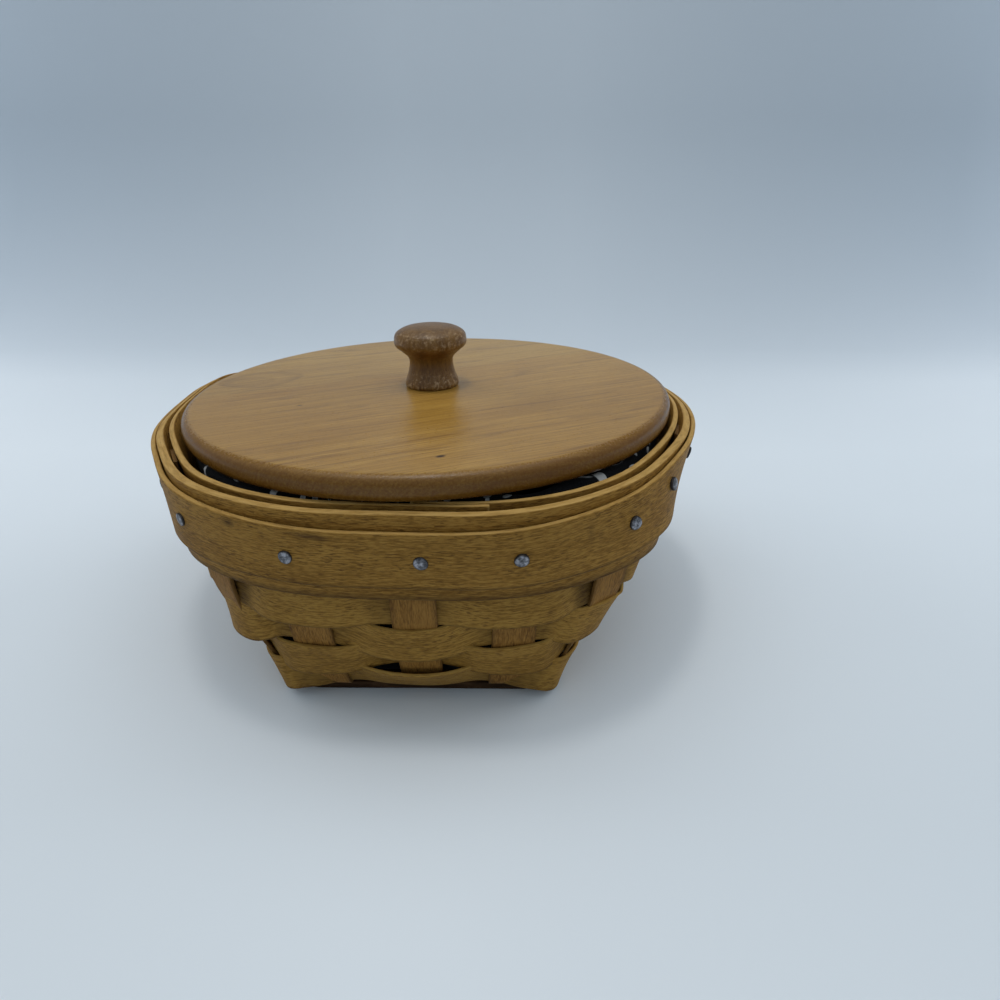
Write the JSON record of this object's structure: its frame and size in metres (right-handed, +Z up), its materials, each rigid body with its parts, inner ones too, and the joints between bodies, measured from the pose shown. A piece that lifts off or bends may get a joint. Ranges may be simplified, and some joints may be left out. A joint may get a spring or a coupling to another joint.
{
  "type": "lidded basket",
  "caption": "Woven wooden splint basket with an oblong base opening out to a round rim, tacked bands, a cloth liner and a loose round board lid with a turned knob.",
  "frame": {"origin": "centre of the woven base, at the height of the table it stands on", "axes": "+X to the right across the basket as the picture shows it, +Y away from the viewer along the long splints of the base, +Z up"},
  "size_m": [0.1866, 0.1838, 0.1013],
  "materials": {
    "upright_splint": "oiled",
    "weaver": "oiled",
    "band": "oiled",
    "tack": "dull",
    "liner": "matte",
    "lid_front": "satin varnish",
    "lid_back": "satin varnish",
    "knob": "gloss varnish",
    "screw": "plain"
  },
  "bodies": {
    "basket": {"long_splint_left": "upright_splint", "long_splint_middle": "upright_splint", "long_splint_right": "upright_splint", "cross_splint_1": "upright_splint", "cross_splint_2": "upright_splint", "cross_splint_3": "upright_splint", "cross_splint_4": "upright_splint", "cross_splint_5": "upright_splint", "cross_splint_6": "upright_splint", "cross_splint_7": "upright_splint", "weaver_1": "weaver", "weaver_2": "weaver", "weaver_3": "weaver", "weaver_4": "weaver", "weaver_5": "weaver", "inner_band": "band", "outer_band": "band", "trim_band": "band", "tacks": "tack", "liner_side": "liner", "liner_floor": "liner"},
    "lid": {"lid_board_front": "lid_front", "lid_board_back": "lid_back", "knob": "knob", "knob_screw": "screw"}
  },
  "joints": [
    {"name": "lid_lift", "type": "slide", "parent": "basket", "child": "lid", "axis": [0, 0, 1], "range_m": [0, 0.12]}
  ]
}
